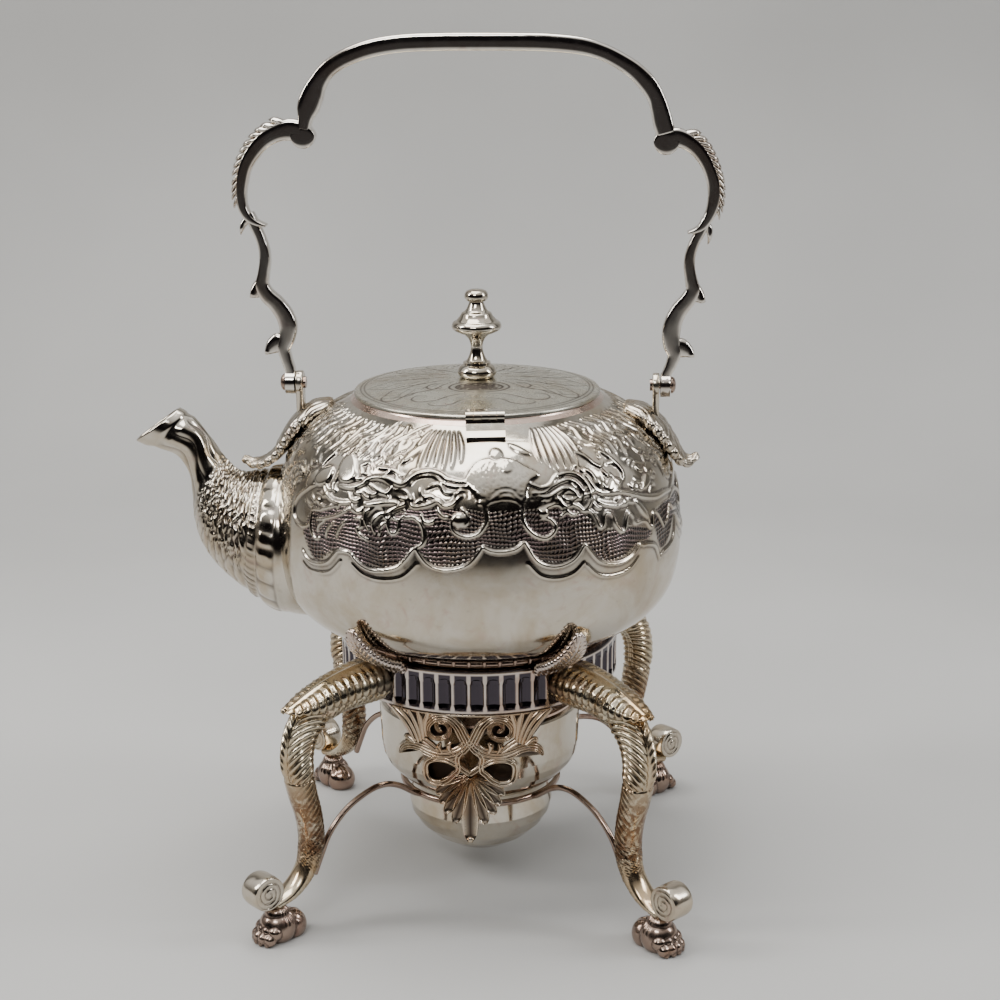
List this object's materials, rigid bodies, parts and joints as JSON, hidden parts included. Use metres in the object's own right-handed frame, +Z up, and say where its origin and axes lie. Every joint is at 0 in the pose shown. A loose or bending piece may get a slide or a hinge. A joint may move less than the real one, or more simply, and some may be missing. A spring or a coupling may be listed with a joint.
{
  "type": "spirit kettle on stand",
  "caption": "Squat round kettle with a curved spout, hinged lid and scrolled bail handle, resting in a fluted ring on a scroll-legged stand with a spirit burner.",
  "frame": {"origin": "on the floor, on the stand's upright axis, midway between the paws", "axes": "+Z up; the spout points along -X; the bail handle swings about X; the lid hinge is on the -Y side"},
  "size_m": [0.2652, 0.1968, 0.3848],
  "materials": {
    "silver_plate": "old polished silver plate, lightly scratched, warm tarnish",
    "cast_silver": "cast silver plate, yellowish tarnish in the hollows",
    "darkened_silver": "silver plate darkened by tarnish",
    "copper_worn": "copper showing through worn plate",
    "wick_cotton": "unburnt cotton"
  },
  "bodies": {
    "stand": {"ring_band": "silver_plate", "lamp_ring": "darkened_silver", "leg_front_left": "cast_silver", "leg_front_right": "cast_silver", "leg_back_right": "cast_silver", "leg_back_left": "cast_silver", "scroll_front_left": "silver_plate", "scroll_front_right": "silver_plate", "scroll_back_right": "silver_plate", "scroll_back_left": "silver_plate", "paw_front_left": "darkened_silver", "paw_front_right": "darkened_silver", "paw_back_right": "darkened_silver", "paw_back_left": "darkened_silver", "clip_front_left": "cast_silver", "clip_front_right": "cast_silver", "clip_back_right": "cast_silver", "clip_back_left": "cast_silver", "wire_front_left": "darkened_silver", "wire_front_right": "darkened_silver", "wire_back_right": "darkened_silver", "wire_back_left": "darkened_silver", "apron_front": "cast_silver", "apron_back": "cast_silver"},
    "kettle": {"kettle_body": "silver_plate", "foot_rim": "darkened_silver", "neck_ring": "copper_worn", "spout": "silver_plate", "mount_left": "silver_plate", "mount_right": "silver_plate", "rivet_left": "darkened_silver", "rivet_right": "darkened_silver", "hinge_plate": "silver_plate", "hinge_pin": "darkened_silver"},
    "lid": {"lid_cover": "silver_plate", "lid_skirt": "copper_worn", "lid_strap": "silver_plate", "lid_knob": "silver_plate", "knob_nut": "darkened_silver"},
    "handle": {"handle_arch": "silver_plate", "handle_scroll_left": "silver_plate", "handle_scroll_right": "silver_plate"},
    "burner": {"burner_bowl": "silver_plate", "burner_tank": "silver_plate", "burner_cover": "copper_worn", "wick_tube": "darkened_silver", "wick": "wick_cotton"}
  },
  "joints": [
    {"name": "kettle_lift", "type": "slide", "parent": "stand", "child": "kettle", "axis": [0, 0, 1], "range_m": [0, 0.16]},
    {"name": "lid_hinge", "type": "hinge", "parent": "kettle", "child": "lid", "pos_m": [0.00757, -0.0575, 0.2303], "axis": [0.9914, 0.1305, 0], "range_deg": [0, 110]},
    {"name": "handle_swing", "type": "hinge", "parent": "kettle", "child": "handle", "pos_m": [0, 0, 0.232], "axis": [1, 0, 0], "range_deg": [-90, 90]},
    {"name": "burner_lift", "type": "slide", "parent": "stand", "child": "burner", "axis": [0, 0, 1], "range_m": [0, 0.008]}
  ]
}
